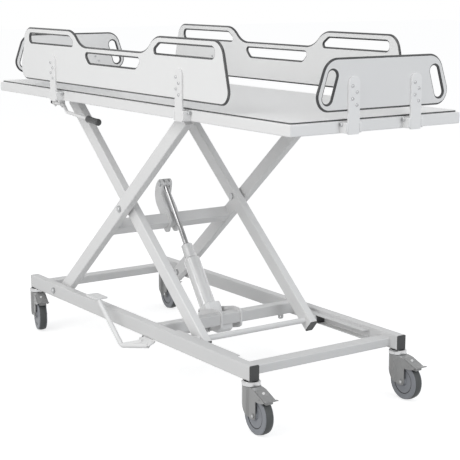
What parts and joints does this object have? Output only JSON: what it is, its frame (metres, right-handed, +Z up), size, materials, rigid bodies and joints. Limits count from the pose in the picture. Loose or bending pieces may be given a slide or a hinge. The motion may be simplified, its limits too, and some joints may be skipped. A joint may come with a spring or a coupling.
{
  "type": "shower trolley",
  "caption": "Shower trolley with a flat lying board, folding side and end panels, a scissor lift with a foot-pumped ram, and a base on braked swivel castors.",
  "frame": {"origin": "on the floor, midway between the four castor stems", "axes": "+X along the trolley to its front end, +Y across to its left side, +Z up"},
  "size_m": [1.974, 0.7385, 1.193],
  "materials": {
    "white_paint": "smooth off-white powder coat",
    "panel_plastic": "smooth white sheet, satin",
    "board_laminate": "white compact laminate, dark core at the edges",
    "black_plastic": "matt moulded",
    "grip_plastic": "matt moulded grip",
    "zinc": "bright zinc plated",
    "chrome": "polished",
    "fork_grey": "grey painted pressing",
    "wheel_grey": "blue-grey moulded core",
    "tread_grey": "dark grey elastic tread",
    "pump_light": "light painted casting"
  },
  "bodies": {
    "base": {"base_rail_right": "white_paint", "base_rail_left": "white_paint", "base_cross_tubes": "white_paint", "rail_end_caps": "black_plastic", "lower_guide_channels": "white_paint", "pump_brackets": "white_paint", "pump_valve_body": "pump_light", "base_pivot_pins": "zinc", "pedal_lugs": "white_paint", "castor_stems": "chrome"},
    "castor_front_right": {"castor_fork_front_right": "fork_grey"},
    "wheel_front_right": {"wheel_core_front_right": "wheel_grey", "wheel_tread_front_right": "tread_grey"},
    "brake_front_right": {"brake_pedal_front_right": "fork_grey"},
    "castor_front_left": {"castor_fork_front_left": "fork_grey"},
    "wheel_front_left": {"wheel_core_front_left": "wheel_grey", "wheel_tread_front_left": "tread_grey"},
    "brake_front_left": {"brake_pedal_front_left": "fork_grey"},
    "castor_rear_right": {"castor_fork_rear_right": "fork_grey"},
    "wheel_rear_right": {"wheel_core_rear_right": "wheel_grey", "wheel_tread_rear_right": "tread_grey"},
    "brake_rear_right": {"brake_pedal_rear_right": "fork_grey"},
    "castor_rear_left": {"castor_fork_rear_left": "fork_grey"},
    "wheel_rear_left": {"wheel_core_rear_left": "wheel_grey", "wheel_tread_rear_left": "tread_grey"},
    "brake_rear_left": {"brake_pedal_rear_left": "fork_grey"},
    "outer_frame": {"outer_arms": "white_paint", "outer_arm_caps": "black_plastic", "outer_cross_tube": "white_paint", "lever_plates": "white_paint", "lever_pin": "zinc", "centre_pivot_bolts": "zinc", "upper_slider_axles": "zinc"},
    "inner_frame": {"inner_arms": "white_paint", "inner_arm_caps": "black_plastic", "lower_slider_axle": "white_paint", "upper_pivot_shaft": "white_paint"},
    "lower_blocks": {"lower_slide_blocks": "black_plastic"},
    "upper_blocks": {"upper_slide_blocks": "black_plastic"},
    "table": {"table_frame_tubes": "white_paint", "lying_board": "board_laminate", "upper_guide_channels": "white_paint", "table_lugs": "white_paint", "hinge_ears": "white_paint", "hinge_pins": "white_paint", "hinge_bolts": "zinc"},
    "panel_side_right": {"side_panel_right": "panel_plastic", "straps_side_right": "white_paint"},
    "panel_side_left": {"side_panel_left": "panel_plastic", "straps_side_left": "white_paint"},
    "panel_end_front": {"end_panel_front": "panel_plastic", "straps_end_front": "white_paint"},
    "panel_end_rear": {"end_panel_rear": "panel_plastic", "straps_end_rear": "white_paint"},
    "cylinder": {"cylinder": "white_paint", "cylinder_foot": "pump_light"},
    "rod": {"piston_rod": "chrome"},
    "pedal": {"pedal_lever": "white_paint"},
    "hand_lever": {"hand_lever": "white_paint", "hand_grip": "grip_plastic"}
  },
  "joints": [
    {"name": "swivel_front_right", "type": "hinge", "parent": "base", "child": "castor_front_right", "pos_m": [0.735, -0.3, 0.146], "axis": [0, 0, 1], "continuous": true},
    {"name": "spin_front_right", "type": "hinge", "parent": "castor_front_right", "child": "wheel_front_right", "pos_m": [0.77994, -0.30235, 0.0625], "axis": [0.0523, 0.9986, 0], "continuous": true},
    {"name": "brake_press_front_right", "type": "hinge", "parent": "castor_front_right", "child": "brake_front_right", "pos_m": [0.81289, -0.30408, 0.124], "axis": [0.0523, 0.9986, 0], "range_deg": [0, 10]},
    {"name": "swivel_front_left", "type": "hinge", "parent": "base", "child": "castor_front_left", "pos_m": [0.735, 0.3, 0.146], "axis": [0, 0, 1], "continuous": true},
    {"name": "spin_front_left", "type": "hinge", "parent": "castor_front_left", "child": "wheel_front_left", "pos_m": [0.78, 0.3, 0.0625], "axis": [0, 1, 0], "continuous": true},
    {"name": "brake_press_front_left", "type": "hinge", "parent": "castor_front_left", "child": "brake_front_left", "pos_m": [0.813, 0.3, 0.124], "axis": [0, 1, 0], "range_deg": [0, 10]},
    {"name": "swivel_rear_right", "type": "hinge", "parent": "base", "child": "castor_rear_right", "pos_m": [-0.735, -0.3, 0.146], "axis": [0, 0, 1], "continuous": true},
    {"name": "spin_rear_right", "type": "hinge", "parent": "castor_rear_right", "child": "wheel_rear_right", "pos_m": [-0.69153, -0.31165, 0.0625], "axis": [0.2588, 0.9659, 0], "continuous": true},
    {"name": "brake_press_rear_right", "type": "hinge", "parent": "castor_rear_right", "child": "brake_rear_right", "pos_m": [-0.65966, -0.32019, 0.124], "axis": [0.2588, 0.9659, 0], "range_deg": [0, 10]},
    {"name": "swivel_rear_left", "type": "hinge", "parent": "base", "child": "castor_rear_left", "pos_m": [-0.735, 0.3, 0.146], "axis": [0, 0, 1], "continuous": true},
    {"name": "spin_rear_left", "type": "hinge", "parent": "castor_rear_left", "child": "wheel_rear_left", "pos_m": [-0.69025, 0.2953, 0.0625], "axis": [0.1045, 0.9945, 0], "continuous": true},
    {"name": "brake_press_rear_left", "type": "hinge", "parent": "castor_rear_left", "child": "brake_rear_left", "pos_m": [-0.65743, 0.29185, 0.124], "axis": [0.1045, 0.9945, 0], "range_deg": [0, 10]},
    {"name": "lift", "type": "hinge", "parent": "base", "child": "outer_frame", "pos_m": [-0.557, 0, 0.187], "axis": [0, -1, 0], "range_deg": [-24, 0]},
    {"name": "scissor_centre", "type": "hinge", "parent": "outer_frame", "child": "inner_frame", "pos_m": [-0.10561, 0, 0.56927], "axis": [0, -1, 0], "range_deg": [0, 48]},
    {"name": "table_pivot", "type": "hinge", "parent": "inner_frame", "child": "table", "pos_m": [-0.557, 0, 0.95154], "axis": [0, -1, 0], "range_deg": [-24, 0]},
    {"name": "lower_block_turn", "type": "hinge", "parent": "inner_frame", "child": "lower_blocks", "pos_m": [0.34579, 0, 0.187], "axis": [0, -1, 0], "range_deg": [-24, 0]},
    {"name": "upper_block_turn", "type": "hinge", "parent": "outer_frame", "child": "upper_blocks", "pos_m": [0.34579, 0, 0.95154], "axis": [0, -1, 0], "range_deg": [0, 24]},
    {"name": "ram_tilt", "type": "hinge", "parent": "base", "child": "cylinder", "pos_m": [0.06799, 0, 0.172], "axis": [0, -1, 0], "range_deg": [-5.7, 0]},
    {"name": "ram_stroke", "type": "slide", "parent": "cylinder", "child": "rod", "axis": [-0.574, 0, 0.8189], "range_m": [-0.2185, 0]},
    {"name": "fold_side_right", "type": "hinge", "parent": "table", "child": "panel_side_right", "pos_m": [-0.013, -0.3505, 0.95003], "axis": [1, 0, 0], "range_deg": [0, 180]},
    {"name": "fold_side_left", "type": "hinge", "parent": "table", "child": "panel_side_left", "pos_m": [-0.013, 0.3505, 0.95003], "axis": [-1, 0, 0], "range_deg": [0, 180]},
    {"name": "fold_end_front", "type": "hinge", "parent": "table", "child": "panel_end_front", "pos_m": [0.981, 0, 0.95003], "axis": [0, 1, 0], "range_deg": [0, 180]},
    {"name": "fold_end_rear", "type": "hinge", "parent": "table", "child": "panel_end_rear", "pos_m": [-0.981, 0, 0.95003], "axis": [0, -1, 0], "range_deg": [0, 180]},
    {"name": "pedal_press", "type": "hinge", "parent": "base", "child": "pedal", "pos_m": [0.11499, -0.3, 0.148], "axis": [0, -1, 0], "range_deg": [0, 20], "stiffness_Nm_per_rad": 6, "springref_deg": -28.65},
    {"name": "hand_lever_swing", "type": "hinge", "parent": "table", "child": "hand_lever", "pos_m": [-0.5002, -0.304, 0.91373], "axis": [-1, 0, 0], "range_deg": [0, 45]}
  ],
  "couplings": [
    {"joint": "scissor_centre", "follows": "lift", "ratio": -2},
    {"joint": "table_pivot", "follows": "lift", "ratio": 1},
    {"joint": "lower_block_turn", "follows": "lift", "ratio": 1},
    {"joint": "upper_block_turn", "follows": "lift", "ratio": -1},
    {"joint": "ram_tilt", "follows": "lift", "ratio": 0.23231},
    {"joint": "ram_stroke", "follows": "lift", "m_per_rad": 0.51976}
  ]
}
